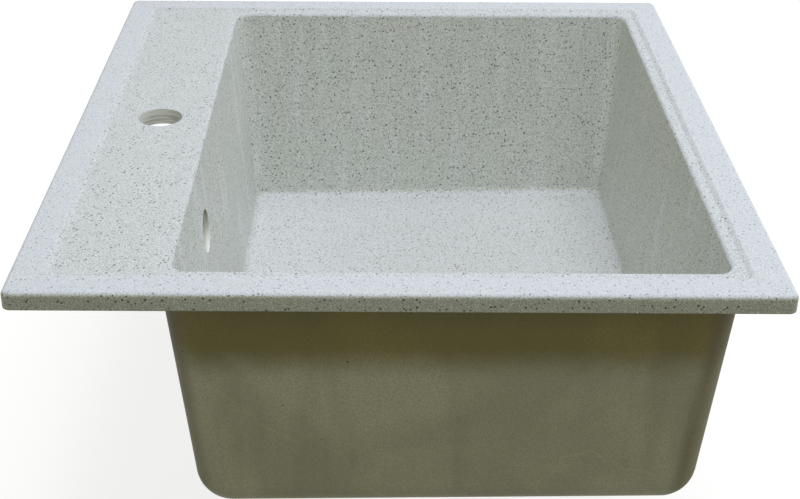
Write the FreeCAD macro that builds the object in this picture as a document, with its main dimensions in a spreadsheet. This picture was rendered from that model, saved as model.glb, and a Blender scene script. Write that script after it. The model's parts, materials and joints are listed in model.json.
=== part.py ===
import FreeCAD, Part
import math
import operator
import os
from types import SimpleNamespace

import Sketcher

# A stone composite kitchen sink with its basket waste and worktop clips, in millimetres and degrees.
# +Z is up, +Y points to the tap ledge at the back and X runs from left to right.
# The origin is the middle of the worktop cut-out, on the plane of the worktop's top.

SIZES = {
    # Rim: a slab that lies on the worktop, with a raised border round a sunk panel
    "rim_length": (570, "rim from left to right"),
    "rim_depth": (510, "rim from front to back"),
    "rim_height": (13, "worktop to the top of the border"),
    "rim_corner": (6, "plan radius of the rim's corners"),
    "rim_top_round": (3.5, "rounding of the rim's upper edge"),
    "rim_foot_round": (0.8, "rounding of the rim's lower edge"),
    "border_width": (23, "raised border round the panel"),
    "panel_drop": (2, "panel below the border"),
    "panel_slope": (60, "lean of the step from border to panel"),
    "panel_corner": (14, "plan radius of the panel's corners"),
    "panel_round": (1.2, "rounding of the step's two edges"),
    "step_height": (2, "step under the rim that finds the cut-out"),
    "step_corner": (8, "plan radius of that step's corners"),
    "step_margin": (1, "edge of that step to the clips' plugs"),
    # Bowl
    "bowl_edge": (34.5, "rim's edge to the bowl, at the front and both ends"),
    "tap_ledge": (104.5, "rim's back edge to the bowl"),
    "bowl_depth": (191, "border to the floor at the drain"),
    "bowl_draft": (3.65, "lean of the bowl's inner walls"),
    "bowl_back_draft": (4, "lean of the inner wall at the back"),
    "bowl_corner": (12, "radius between the inner walls"),
    "lip_round": (3, "rounding where the panel turns into the bowl"),
    "floor_round": (9, "rounding between the inner walls and the floor"),
    "floor_fall": (1, "fall of the floor towards the back"),
    "wall_thickness": (10.5, "wall of the bowl at the worktop"),
    "floor_thickness": (13, "floor of the bowl"),
    "outer_draft": (4.2, "lean of the bowl's outer walls"),
    "outer_back_draft": (5, "lean of the outer wall at the back"),
    "outer_corner": (28, "radius between the outer walls"),
    "outer_round": (25, "rounding between the outer walls and the underside"),
    # Holes in the sink
    "tap_bore": (35, "diameter of the tap hole"),
    "tap_setback": (64.5, "rim's back edge to the middle of the tap hole"),
    "overflow_bore": (34, "diameter of the overflow hole"),
    "overflow_side": (90, "overflow hole to the left of the middle"),
    "overflow_drop": (58, "border to the middle of the overflow hole"),
    "drain_setback": (105.5, "bowl's back edge to the middle of the drain"),
    "drain_recess_depth": (4, "floor to the bottom of the recess for the dish"),
    "drain_recess_round": (2, "rounding of the recess's upper edge"),
    "drain_pad_margin": (8, "level pad under the drain, round the waste body's flange"),
    "drain_pad_proud": (2, "pad below the underside"),
    # Strainer dish and gaskets
    "dish_flange": (114, "diameter of the dish's flange"),
    "dish_cup": (86, "outer diameter of the dish's cup"),
    "dish_depth": (38, "flange to the underside of the cup"),
    "dish_narrowing": (3, "cup's radius lost from top to bottom"),
    "dish_sheet": (1.2, "sheet steel of the dish"),
    "dish_lip_round": (3, "bend from flange to cup"),
    "dish_foot_round": (5, "bend from cup to its bottom"),
    "dish_hole": (10, "diameter of the drain holes in the dish"),
    "dish_hole_circle": (44, "diameter of the circle that they lie on"),
    "dish_gasket_height": (1.5, "gasket under the dish's flange"),
    "body_gasket_height": (4, "gasket over the waste body"),
    "gasket_margin": (1, "gasket inside the edges that it seals"),
    # Waste body
    "waste_flange": (116, "diameter of the waste body's flange"),
    "waste_flange_height": (6, "thickness of that flange"),
    "waste_wall": (3.5, "wall of the waste body"),
    "waste_funnel": (22, "height of the cone below the cup"),
    "outlet_thread": (47.8, "major diameter of the outlet's thread"),
    "outlet_bore": (40, "bore of the outlet"),
    "outlet_length": (24, "length of the outlet"),
    "spider_rib": (4, "thickness of the spider's ribs"),
    "spider_height": (14, "height of the spider"),
    "spider_room": (6.5, "dish to the spider"),
    "hub_wall": (4, "hub round the insert"),
    "gusset_reach": (5, "gussets under the flange, from the cup outwards"),
    "gusset_height": (12, "gussets below the flange"),
    "gusset_thickness": (2.5, "thickness of a gusset"),
    "spigot_diameter": (25, "overflow spigot"),
    "spigot_bore": (20, "bore of the spigot"),
    "spigot_length": (30, "spigot from the waste body's cup"),
    "spigot_drop": (24, "waste body's top to the spigot's middle"),
    "bead_diameter": (27.5, "bead that holds a hose on the spigot"),
    "bead_width": (3, "width of that bead"),
    # Clamp screw and its insert
    "clamp_thread": (6, "clamp screw"),
    "clamp_head": (13, "diameter of its head"),
    "clamp_head_height": (3.5, "height of its head"),
    "clamp_slot": (1.4, "width of the slot in its head"),
    "clamp_slot_depth": (1.6, "depth of that slot"),
    "insert_diameter": (10, "brass insert in the hub"),
    "insert_length": (12, "length of the insert"),
    # Strainer basket
    "basket_rim_width": (2, "turned-out rim of the basket"),
    "basket_floor": (64, "diameter of the basket's floor"),
    "basket_height": (24, "height of the basket"),
    "basket_sheet": (0.8, "sheet steel of the basket"),
    "basket_foot_round": (3, "bend from the basket's floor to its wall"),
    "basket_hole": (4.5, "diameter of the holes in the basket's wall"),
    "basket_hole_rows": (6, "distance between their rows"),
    "seal_lip": (3, "width of the lip of the plug under the basket"),
    "seal_disc": (3, "thickness of the plug's disc"),
    "knob_thread": (6, "stud of the knob"),
    "knob_foot": (18, "diameter of the knob's foot"),
    "knob_foot_height": (2, "height of the knob's foot"),
    "knob_neck": (8, "diameter of the knob's neck"),
    "knob_grip": (22, "diameter of the knob's grip"),
    "knob_grip_height": (7, "height of the knob's grip"),
    "knob_height": (32, "height of the knob over the basket's floor"),
    "knob_round": (2.5, "rounding of the knob's grip"),
    "nut_flats": (10, "across the flats of the knob's nut"),
    "nut_height": (4, "height of the knob's nut"),
    "nut_room": (2.5, "clamp screw to that nut"),
    # Worktop clips
    "worktop": (38, "thickest worktop that the clips reach under"),
    "claw_gap": (3, "room between the claws and that worktop"),
    "clip_spread": (165, "clips left and right of the middle"),
    "plug_diameter": (8, "nylon plug"),
    "plug_cover": (2, "stone between the plug and the panel"),
    "plug_collar": (10, "diameter of the plug's collar"),
    "plug_collar_height": (1.5, "height of the plug's collar"),
    "stud_thread": (5, "stud of a clip"),
    "stud_chamfer": (0.6, "chamfer at both ends of the stud"),
    "stud_end": (3, "stud below its nut"),
    "clip_flange": (11.5, "diameter of the flange of the nut that lifts the claw"),
    "clip_flange_height": (1.5, "height of that flange"),
    "clip_flats": (8, "across the flats of that nut"),
    "clip_nut_height": (3.5, "height of that nut below its flange"),
    "claw_width": (11, "width of a claw"),
    "claw_sheet": (2, "sheet steel of a claw"),
    "claw_reach": (40, "stud to the claw's tip"),
    "claw_flat": (13, "stud to the bend in the claw"),
    "claw_rise": (4, "height of that bend"),
    "claw_bend": (45, "angle of that bend"),
    "claw_tooth": (6, "height of the turned-up tip"),
    # Fits
    "thread_clearance": (0.05, "round screws, studs and inserts"),
    "turning_clearance": (0.05, "claw round its stud"),
    "claw_clearance": (0.5, "claw to the bowl's wall"),
    "dish_clearance": (2, "dish in its recess and in the drain hole"),
    "cup_clearance": (3, "dish in the waste body's cup"),
    "basket_clearance": (1.8, "basket's rim in the dish"),
    "seal_clearance": (1.3, "plug inside the bend at the dish's foot"),
    "screw_tip": (1, "tip of a screw or stud to the end of its hole"),
}

# Counts of what repeats round an axis. A cut through the basket goes through both of its walls, so an odd
# number of cuts makes twice as many columns of holes.
DISH_HOLES = 8
BASKET_CUTS = 9
BASKET_ROWS = 3
SPIDER_RIBS = 3
GUSSETS = 6

# Left or right, front or back, and where each clip sits
CLIPS = {
    "front_left": (-1, -1),
    "front_right": (1, -1),
    "back_left": (-1, 1),
    "back_right": (1, 1),
}

# Shares of a sheet's thickness and of half a strip's width that their rounded edges take
SHEET_ROUND = 0.8
END_ROUND = 0.98

CLOSE = 1e-4
WORKING_ROOM = 20

OPERATORS = {"+": operator.add, "-": operator.sub, "*": operator.mul, "/": operator.truediv}


class Size:
    """A size: the formula that the document keeps, and its present value."""

    def __init__(self, formula, value):
        self.formula = formula
        self.value = value

    def __add__(self, other):
        return joined(self, "+", other)

    def __radd__(self, other):
        return joined(other, "+", self)

    def __sub__(self, other):
        return joined(self, "-", other)

    def __rsub__(self, other):
        return joined(other, "-", self)

    def __mul__(self, other):
        return joined(self, "*", other)

    def __rmul__(self, other):
        return joined(other, "*", self)

    def __truediv__(self, other):
        return joined(self, "/", other)

    def __neg__(self):
        return joined(0, "-", self)


def as_size(size):
    return size if isinstance(size, Size) else Size(repr(float(size)), float(size))


def joined(first, symbol, second):
    first, second = as_size(first), as_size(second)
    value = OPERATORS[symbol](first.value, second.value)
    return Size(f"({first.formula} {symbol} {second.formula})", value)


def tangent(angle):
    return Size(f"tan({angle.formula})", math.tan(math.radians(angle.value)))


doc = FreeCAD.newDocument("kitchen_sink")


def fill_sheet():
    """Writes the driving sizes to the sheet and gives each as a Size."""
    sheet = doc.addObject("Spreadsheet::Sheet", "sizes")
    for row, (alias, (value, meaning)) in enumerate(SIZES.items(), 1):
        sheet.set(f"A{row}", meaning)
        sheet.set(f"B{row}", str(value))
        sheet.setAlias(f"B{row}", alias)
    doc.recompute()
    return SimpleNamespace(**{alias: Size(f"sizes.{alias}", float(sheet.get(alias))) for alias in SIZES})


def bind(item, field, size):
    item.setExpression(field, as_size(size).formula)


# Sketches

def new_body(label, x=0, y=0, z=0):
    body = doc.addObject("PartDesign::Body", label)
    body.Label = label
    for axis, place in zip("xyz", (x, y, z)):
        bind(body, f"Placement.Base.{axis}", place)
    return body


def origin_part(body, role):
    return next(item for item in body.Origin.OriginFeatures if item.Role == role)


def new_sketch(body, role, offset=0):
    sketch = body.newObject("Sketcher::SketchObject", "outline")
    sketch.AttachmentSupport = [(origin_part(body, role), "")]
    sketch.MapMode = "FlatFace"
    bind(sketch, "AttachmentOffset.Base.z", offset)
    return sketch


def pin_point(sketch, geometry, end, place):
    for kind, size in zip(("DistanceX", "DistanceY"), place):
        size = as_size(size)
        index = sketch.addConstraint(Sketcher.Constraint(kind, -1, 1, geometry, end, size.value))
        bind(sketch, f"Constraints[{index}]", size)


def draw_outline(sketch, corners):
    places = [FreeCAD.Vector(as_size(x).value, as_size(y).value, 0) for x, y in corners]
    count = len(corners)
    for i in range(count):
        sketch.addGeometry(Part.LineSegment(places[i], places[(i + 1) % count]), False)
    for i in range(count):
        sketch.addConstraint(Sketcher.Constraint("Coincident", i, 2, (i + 1) % count, 1))
    for i in range(count):
        pin_point(sketch, i, 1, corners[i])
    return sketch


def draw_circle(sketch, x, y, diameter):
    middle = FreeCAD.Vector(as_size(x).value, as_size(y).value, 0)
    radius = diameter / 2
    geometry = sketch.addGeometry(Part.Circle(middle, FreeCAD.Vector(0, 0, 1), radius.value), False)
    pin_point(sketch, geometry, 3, (x, y))
    index = sketch.addConstraint(Sketcher.Constraint("Radius", geometry, radius.value))
    bind(sketch, f"Constraints[{index}]", radius)
    return sketch


def rectangle(left, right, front, back):
    return [(left, front), (right, front), (right, back), (left, back)]


def hexagon(flats):
    """Corners of a hexagon, with two flats square to the first axis."""
    half = flats / 2
    side = half / math.sqrt(3)
    return [(half, -side), (half, side), (0, 2 * side), (-half, side), (-half, -side), (0, -2 * side)]


# Features

def finish(feature):
    doc.recompute()
    if feature.Shape.isNull() or not feature.Shape.isValid():
        raise ValueError(f"{feature.Name} has no sound shape")
    return feature


def pad(body, sketch, length, down=False):
    feature = body.newObject("PartDesign::Pad", "pad")
    feature.Profile = sketch
    feature.Reversed = down
    bind(feature, "Length", length)
    return finish(feature)


def pad_both_ways(body, sketch, width):
    feature = body.newObject("PartDesign::Pad", "pad")
    feature.Profile = sketch
    feature.SideType = "Symmetric"
    bind(feature, "Length", width)
    return finish(feature)


def pocket(body, sketch, depth, up=False, both_ways=False):
    before = body.Tip.Shape.Volume
    feature = body.newObject("PartDesign::Pocket", "pocket")
    feature.Profile = sketch
    feature.Reversed = up
    if both_ways:
        feature.SideType = "Symmetric"
    bind(feature, "Length", depth)
    finish(feature)
    if feature.Shape.Volume > before - CLOSE:
        raise ValueError(f"{feature.Name} in {body.Label} cuts nothing")
    return feature


def spin(body, corners):
    """A turned solid about the body's own Z axis, from radius and height."""
    sketch = draw_outline(new_sketch(body, "XZ_Plane"), corners)
    feature = body.newObject("PartDesign::Revolution", "turning")
    feature.Profile = sketch
    feature.ReferenceAxis = (sketch, ["V_Axis"])
    feature.Angle = 360
    return finish(feature)


def repeat_round(body, features, count):
    """Copies features round the body's own Z axis."""
    pattern = body.newObject("PartDesign::PolarPattern", "ring")
    pattern.Originals = features
    pattern.Axis = (origin_part(body, "Z_Axis"), [""])
    pattern.Angle = 360
    pattern.Occurrences = count
    body.Tip = pattern
    return finish(pattern)


def round_edges(body, radius, wanted):
    """Rounds the edges of the body so far that the test asks for."""
    base = body.Tip
    edges = enumerate(base.Shape.Edges, 1)
    names = [f"Edge{i}" for i, edge in edges if not edge.Degenerated and wanted(edge)]
    if not names:
        raise ValueError(f"no edge to round in {body.Label}")
    feature = body.newObject("PartDesign::Fillet", "rounding")
    feature.Base = (base, names)
    bind(feature, "Radius", radius)
    return finish(feature)


def lean_walls(body, angle, height, wanted, face_down=True):
    """Leans the walls that the test asks for, to face a little down or up from a level."""
    base = body.Tip
    level = body.newObject("PartDesign::Plane", "level")
    level.AttachmentSupport = [(origin_part(body, "XY_Plane"), "")]
    level.MapMode = "FlatFace"
    bind(level, "AttachmentOffset.Base.z", height)
    walls = [f"Face{i}" for i, face in enumerate(base.Shape.Faces, 1) if wanted(face)]
    feature = body.newObject("PartDesign::Draft", "lean")
    feature.Base = (base, walls)
    feature.NeutralPlane = (level, [""])
    feature.Reversed = face_down
    bind(feature, "Angle", angle)
    return finish(feature)


# Tests that pick faces and edges

def facing(face):
    first, last, low, high = face.ParameterRange
    return face.normalAt((first + last) / 2, (low + high) / 2)


def is_upright(face):
    return face.Surface.TypeId == "Part::GeomPlane" and abs(facing(face).z) < CLOSE


def marks(edge):
    first, last = edge.ParameterRange
    return [edge.valueAt(first + (last - first) * share) for share in (0, 0.5, 1)]


def is_level(edge, height):
    return all(abs(point.z - height.value) < CLOSE for point in marks(edge))


def climbs(edge):
    start, middle, end = marks(edge)
    is_straight = middle.distanceToPoint((start + end) / 2) < CLOSE
    return is_straight and abs(start.z - end.z) > CLOSE


def is_ring(edge, radius, height):
    on_circle = all(abs(math.hypot(point.x, point.y) - radius.value) < CLOSE for point in marks(edge))
    return on_circle and is_level(edge, as_size(height))


size = fill_sheet()

# Places that several pieces share

half_length = size.rim_length / 2
half_depth = size.rim_depth / 2
panel_top = size.rim_height - size.panel_drop
bowl_end = half_length - size.bowl_edge
bowl_front = size.bowl_edge - half_depth
bowl_back = half_depth - size.tap_ledge

drain_y = bowl_back - size.drain_setback
floor_at_drain = size.rim_height - size.bowl_depth
seat_at_drain = floor_at_drain - size.drain_recess_depth
pad_under_seat = size.floor_thickness - size.drain_recess_depth + size.drain_pad_proud
drain_bore = size.dish_cup + 2 * size.dish_clearance
waste_bore = size.dish_cup + 2 * size.cup_clearance

# Heights in the waste, from the bottom of the drain's recess
dish_top = size.dish_gasket_height + size.dish_sheet
dish_inside = dish_top - size.dish_depth
waste_top = -(pad_under_seat + size.body_gasket_height)
hub_top = dish_inside - size.dish_sheet - size.spider_room
waste_cup_end = hub_top - size.spider_height
seal_skirt = size.clamp_head_height + size.nut_room + size.nut_height
basket_base = dish_inside + seal_skirt + size.seal_disc

# The clips and the step round them, from the plane of the worktop
clip_y = -bowl_front + size.wall_thickness + size.claw_clearance + size.claw_width / 2
seat_width = half_depth - clip_y - size.plug_collar / 2 - size.step_margin
plug_length = panel_top + size.step_height - size.plug_cover
claw_base = -(size.worktop + size.claw_gap + size.claw_rise + size.claw_sheet + size.claw_tooth)


def floor_height(y, below=0):
    """Height of the sloping floor, or of a plane under it, at a distance from front to back."""
    return floor_at_drain - below + (drain_y - y) * tangent(size.floor_fall)


def is_back_wall(face):
    return is_upright(face) and face.CenterOfMass.y > bowl_back.value - CLOSE


def cut_below_floor(body, below):
    """Takes away what lies under the sloping floor, or under a plane below it."""
    front = -half_depth - WORKING_ROOM
    back = half_depth + WORKING_ROOM
    deep = floor_at_drain - size.floor_thickness - 3 * WORKING_ROOM
    corners = [
        (front, floor_height(front, below)),
        (back, floor_height(back, below)),
        (back, deep),
        (front, deep),
    ]
    sketch = draw_outline(new_sketch(body, "YZ_Plane"), corners)
    pocket(body, sketch, size.rim_length, both_ways=True)


def on_floor(edge, below):
    return all(abs(point.z - floor_height(point.y, below).value) < CLOSE for point in marks(edge))


def is_corner(edge, below):
    """Tells whether two walls meet at the edge, and not a wall and the sloping floor."""
    return climbs(edge) and not on_floor(edge, below)


def make_bowl_space():
    """The hollow of the bowl, as a solid to be cut from the sink."""
    body = new_body("bowl_space")
    sketch = new_sketch(body, "XY_Plane", size.rim_height)
    draw_outline(sketch, rectangle(-bowl_end, bowl_end, bowl_front, bowl_back))
    pad(body, sketch, size.bowl_depth + WORKING_ROOM, down=True)
    lean_walls(body, size.bowl_back_draft, panel_top, is_back_wall)
    lean_walls(body, size.bowl_draft, panel_top, is_upright)
    cut_below_floor(body, as_size(0))
    round_edges(body, size.bowl_corner, lambda edge: is_corner(edge, as_size(0)))
    round_edges(body, size.floor_round, lambda edge: on_floor(edge, as_size(0)))
    return body


def add_rim(body):
    """The slab with its raised border, sunk panel and the step that finds the cut-out."""
    sketch = new_sketch(body, "XY_Plane")
    draw_outline(sketch, rectangle(-half_length, half_length, -half_depth, half_depth))
    pad(body, sketch, size.rim_height)
    round_edges(body, size.rim_corner, lambda edge: climbs(edge) and marks(edge)[1].z > 0)

    step_x = half_length - seat_width
    step_y = half_depth - seat_width
    step = new_sketch(body, "XY_Plane")
    draw_outline(step, rectangle(-step_x, step_x, -step_y, step_y))
    pad(body, step, size.step_height, down=True)
    middle = -size.step_height.value / 2
    round_edges(body, size.step_corner,
                lambda edge: climbs(edge) and abs(marks(edge)[1].z - middle) < CLOSE)

    panel_x = half_length - size.border_width
    panel_y = half_depth - size.border_width
    panel = new_sketch(body, "XY_Plane", size.rim_height)
    draw_outline(panel, rectangle(-panel_x, panel_x, -panel_y, panel_y))
    pocket(body, panel, size.panel_drop)

    def inside_border(point):
        return abs(point.x) < panel_x.value + CLOSE and abs(point.y) < panel_y.value + CLOSE

    def above_panel(point):
        return point.z > panel_top.value + CLOSE

    def is_step(face):
        middle = face.CenterOfMass
        return is_upright(face) and inside_border(middle) and above_panel(middle)

    lean_walls(body, size.panel_slope, size.rim_height, is_step, face_down=False)
    round_edges(body, size.panel_corner,
                lambda edge: climbs(edge) and inside_border(marks(edge)[1]) and above_panel(marks(edge)[1]))
    for height in (size.rim_height, panel_top):
        round_edges(body, size.panel_round,
                    lambda edge: is_level(edge, height) and inside_border(marks(edge)[1]))


def add_outer_bowl(body):
    """The drafted outside of the bowl, with the level pad under the drain."""
    end = bowl_end + size.wall_thickness
    front = bowl_front - size.wall_thickness
    back = bowl_back + size.wall_thickness
    sketch = new_sketch(body, "XY_Plane")
    draw_outline(sketch, rectangle(-end, end, front, back))
    pad(body, sketch, size.bowl_depth + size.floor_thickness + WORKING_ROOM, down=True)
    lean_walls(body, size.outer_back_draft, 0, is_back_wall)
    lean_walls(body, size.outer_draft, 0, is_upright)
    cut_below_floor(body, size.floor_thickness)
    round_edges(body, size.outer_corner, lambda edge: is_corner(edge, size.floor_thickness))
    round_edges(body, size.outer_round, lambda edge: on_floor(edge, size.floor_thickness))

    pad_sketch = new_sketch(body, "XY_Plane", seat_at_drain - pad_under_seat)
    draw_circle(pad_sketch, 0, drain_y, size.waste_flange + 2 * size.drain_pad_margin)
    pad(body, pad_sketch, size.drain_pad_proud + size.floor_thickness / 2)


def cut_holes(body):
    """Tap hole, overflow hole, drain with its recess, and the holes for the clips' plugs."""
    tap = new_sketch(body, "XY_Plane", size.rim_height)
    draw_circle(tap, 0, half_depth - size.tap_setback, size.tap_bore)
    pocket(body, tap, size.rim_height + size.step_height)

    overflow = new_sketch(body, "XZ_Plane", WORKING_ROOM - bowl_back)
    draw_circle(overflow, -size.overflow_side, size.rim_height - size.overflow_drop, size.overflow_bore)
    pocket(body, overflow, WORKING_ROOM + 2 * size.wall_thickness)

    recess = new_sketch(body, "XY_Plane", seat_at_drain)
    reach = size.dish_flange / 2 + size.dish_clearance
    draw_circle(recess, 0, drain_y, 2 * reach)
    pocket(body, recess, size.bowl_depth / 2, up=True)

    def round_the_drain(point):
        return abs(math.hypot(point.x, point.y - drain_y.value) - reach.value) < CLOSE

    round_edges(body, size.drain_recess_round,
                lambda edge: on_floor(edge, as_size(0)) and all(map(round_the_drain, marks(edge))))

    drain = new_sketch(body, "XY_Plane", seat_at_drain)
    draw_circle(drain, 0, drain_y, drain_bore)
    pocket(body, drain, size.floor_thickness + size.drain_pad_proud)

    plugs = new_sketch(body, "XY_Plane", -size.step_height)
    for side, end in CLIPS.values():
        draw_circle(plugs, side * size.clip_spread, end * clip_y, size.plug_diameter)
    pocket(body, plugs, plug_length, up=True)


def make_sink_body():
    """The moulded sink, in one piece."""
    space = make_bowl_space()
    body = new_body("sink_body")
    add_outer_bowl(body)
    add_rim(body)
    hollow = body.newObject("PartDesign::Boolean", "hollow")
    hollow.Type = "Cut"
    hollow.setObjects([space])
    finish(hollow)

    def at_lip(edge):
        middle = marks(edge)[1]
        across = abs(middle.x) < bowl_end.value + CLOSE
        along = bowl_front.value - CLOSE < middle.y < bowl_back.value + CLOSE
        return is_level(edge, panel_top) and across and along

    round_edges(body, size.lip_round, at_lip)
    cut_holes(body)

    def on_outer_edge(edge, height):
        middle = marks(edge)[1]
        near_end = abs(middle.x) > half_length.value - seat_width.value / 2
        near_side = abs(middle.y) > half_depth.value - seat_width.value / 2
        return is_level(edge, height) and (near_end or near_side)

    round_edges(body, size.rim_top_round, lambda edge: on_outer_edge(edge, size.rim_height))
    round_edges(body, size.rim_foot_round, lambda edge: on_outer_edge(edge, as_size(0)))
    return body


# The basket waste, on the drain's axis

def drain_body(label):
    return new_body(label, y=drain_y, z=seat_at_drain)


def make_strainer_dish():
    """Pressed dish: a flange in the recess and a cup through the drain hole."""
    body = drain_body("strainer_dish")
    flange = size.dish_flange / 2
    cup = size.dish_cup / 2
    foot = cup - size.dish_narrowing
    sheet = size.dish_sheet
    flange_base = size.dish_gasket_height
    cup_base = dish_inside - sheet
    hole = size.clamp_thread / 2 + size.thread_clearance
    spin(body, [
        (flange, flange_base),
        (flange, dish_top),
        (cup - sheet, dish_top),
        (foot - sheet, dish_inside),
        (hole, dish_inside),
        (hole, cup_base),
        (foot, cup_base),
        (cup, flange_base),
    ])
    round_edges(body, size.dish_lip_round, lambda edge: is_ring(edge, cup, flange_base))
    round_edges(body, size.dish_lip_round + sheet, lambda edge: is_ring(edge, cup - sheet, dish_top))
    round_edges(body, size.dish_foot_round, lambda edge: is_ring(edge, foot - sheet, dish_inside))
    round_edges(body, size.dish_foot_round + sheet, lambda edge: is_ring(edge, foot, cup_base))
    round_edges(body, sheet * SHEET_ROUND, lambda edge: is_ring(edge, flange, dish_top))
    holes = new_sketch(body, "XY_Plane", dish_inside)
    draw_circle(holes, size.dish_hole_circle / 2, 0, size.dish_hole)
    repeat_round(body, [pocket(body, holes, sheet * 2)], DISH_HOLES)
    return body


def make_gasket(label, inner, outer, base, height):
    body = drain_body(label)
    spin(body, [(inner, base), (outer, base), (outer, base + height), (inner, base + height)])
    return body


def make_dish_gasket():
    inner = size.dish_cup / 2 + size.dish_lip_round + size.gasket_margin
    outer = size.dish_flange / 2 - size.gasket_margin
    return make_gasket("dish_gasket", inner, outer, as_size(0), size.dish_gasket_height)


def make_body_gasket():
    inner = waste_bore / 2 + size.gasket_margin
    outer = size.waste_flange / 2 - size.gasket_margin
    return make_gasket("body_gasket", inner, outer, waste_top, size.body_gasket_height)


def add_spigot(body):
    """Overflow spigot on the side of the cup, towards the back."""
    wall = waste_bore / 2 + size.waste_wall / 2
    height = waste_top - size.spigot_drop
    tube = new_sketch(body, "XZ_Plane", -wall)
    draw_circle(tube, 0, height, size.spigot_diameter)
    pad(body, tube, size.waste_wall / 2 + size.spigot_length, down=True)
    bead_place = wall + size.waste_wall / 2 + size.spigot_length - size.bead_width
    bead = new_sketch(body, "XZ_Plane", -bead_place)
    draw_circle(bead, 0, height, size.bead_diameter)
    pad(body, bead, size.bead_width, down=True)
    bore = new_sketch(body, "XZ_Plane", size.waste_wall - waste_bore / 2)
    draw_circle(bore, 0, height, size.spigot_bore)
    pocket(body, bore, size.waste_wall * 2 + size.spigot_length)


def add_spider(body):
    """Ribs and a hub inside the cup, with a blind hole for the insert."""
    reach = waste_bore / 2 + size.waste_wall / 2
    half_rib = size.spider_rib / 2
    rib = new_sketch(body, "XY_Plane", waste_cup_end)
    draw_outline(rib, rectangle(-half_rib, half_rib, -reach, 0))
    repeat_round(body, [pad(body, rib, size.spider_height)], SPIDER_RIBS)
    hub = new_sketch(body, "XY_Plane", waste_cup_end)
    draw_circle(hub, 0, 0, size.insert_diameter + 2 * size.hub_wall)
    pad(body, hub, size.spider_height)
    hole = new_sketch(body, "XY_Plane", hub_top)
    draw_circle(hole, 0, 0, size.insert_diameter + 2 * size.thread_clearance)
    pocket(body, hole, size.insert_length)


def add_gussets(body):
    """Triangular webs between the flange and the cup, clear of the spigot."""
    cup = waste_bore / 2 + size.waste_wall
    under = waste_top - size.waste_flange_height
    inner = cup - size.waste_wall / 2
    web = draw_outline(new_sketch(body, "XZ_Plane"), [
        (inner, under + size.waste_flange_height / 2),
        (cup + size.gusset_reach, under + size.waste_flange_height / 2),
        (cup + size.gusset_reach, under),
        (cup, under - size.gusset_height),
        (inner, under - size.gusset_height),
    ])
    repeat_round(body, [pad_both_ways(body, web, size.gusset_thickness)], GUSSETS)


def make_waste_body():
    """Moulded funnel under the sink, with the outlet that a trap screws on to."""
    body = drain_body("waste_body")
    flange = size.waste_flange / 2
    inner = waste_bore / 2
    outer = inner + size.waste_wall
    outlet = size.outlet_thread / 2
    bore = size.outlet_bore / 2
    flange_base = waste_top - size.waste_flange_height
    cone_end = waste_cup_end - size.waste_funnel
    outlet_end = cone_end - size.outlet_length
    spin(body, [
        (inner, waste_top),
        (flange, waste_top),
        (flange, flange_base),
        (outer, flange_base),
        (outer, waste_cup_end),
        (outlet, cone_end),
        (outlet, outlet_end),
        (bore, outlet_end),
        (bore, cone_end),
        (inner, waste_cup_end),
    ])
    add_gussets(body)
    add_spider(body)
    add_spigot(body)
    return body


def make_clamp_screw():
    """Slotted screw from the dish's bottom to the insert."""
    body = drain_body("clamp_screw")
    head = size.clamp_head / 2
    shank = size.clamp_thread / 2
    tip = hub_top - size.insert_length + size.screw_tip
    head_top = dish_inside + size.clamp_head_height
    spin(body, [
        (0, tip),
        (shank, tip),
        (shank, dish_inside),
        (head, dish_inside),
        (head, head_top),
        (0, head_top),
    ])
    round_edges(body, size.clamp_head_height / 2, lambda edge: is_ring(edge, head, head_top))
    slot = new_sketch(body, "XY_Plane", head_top)
    half_slot = size.clamp_slot / 2
    draw_outline(slot, rectangle(-head, head, -half_slot, half_slot))
    pocket(body, slot, size.clamp_slot_depth)
    return body


def make_insert_nut():
    body = drain_body("insert_nut")
    bore = size.clamp_thread / 2 + size.thread_clearance
    outer = size.insert_diameter / 2
    base = hub_top - size.insert_length
    spin(body, [(bore, base), (outer, base), (outer, hub_top), (bore, hub_top)])
    return body


# The basket that lifts out

def make_strainer_basket():
    """Perforated cup with a turned-out rim."""
    body = drain_body("strainer_basket")
    sheet = size.basket_sheet
    floor = size.basket_floor / 2
    rim = size.dish_cup / 2 - size.dish_sheet - size.basket_clearance
    wall = rim - size.basket_rim_width
    top = basket_base + size.basket_height
    hole = size.knob_thread / 2 + size.thread_clearance
    spin(body, [
        (hole, basket_base),
        (floor, basket_base),
        (wall, top - sheet),
        (rim, top - sheet),
        (rim, top),
        (wall - sheet, top),
        (floor - sheet, basket_base + sheet),
        (hole, basket_base + sheet),
    ])
    round_edges(body, size.basket_foot_round, lambda edge: is_ring(edge, floor, basket_base))
    round_edges(body, size.basket_foot_round - sheet,
                lambda edge: is_ring(edge, floor - sheet, basket_base + sheet))
    middle = basket_base + size.basket_height / 2
    holes = new_sketch(body, "XZ_Plane")
    for row in range(BASKET_ROWS):
        height = middle + (row - (BASKET_ROWS - 1) / 2) * size.basket_hole_rows
        draw_circle(holes, 0, height, size.basket_hole)
    repeat_round(body, [pocket(body, holes, 2 * rim, both_ways=True)], BASKET_CUTS)
    return body


def make_basket_seal():
    """Rubber plug: a disc under the basket and a skirt whose lip seals on the dish."""
    body = drain_body("basket_seal")
    dish_foot = size.dish_cup / 2 - size.dish_narrowing - size.dish_sheet - size.dish_foot_round
    outer = dish_foot - size.seal_clearance
    inner = outer - size.seal_lip
    disc = dish_inside + seal_skirt
    hole = size.knob_thread / 2 + size.thread_clearance
    shoulder = size.basket_floor / 2 - size.basket_foot_round
    spin(body, [
        (inner, dish_inside),
        (outer, dish_inside),
        (shoulder, basket_base),
        (hole, basket_base),
        (hole, disc),
        (inner - size.seal_lip, disc),
    ])
    return body


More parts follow.
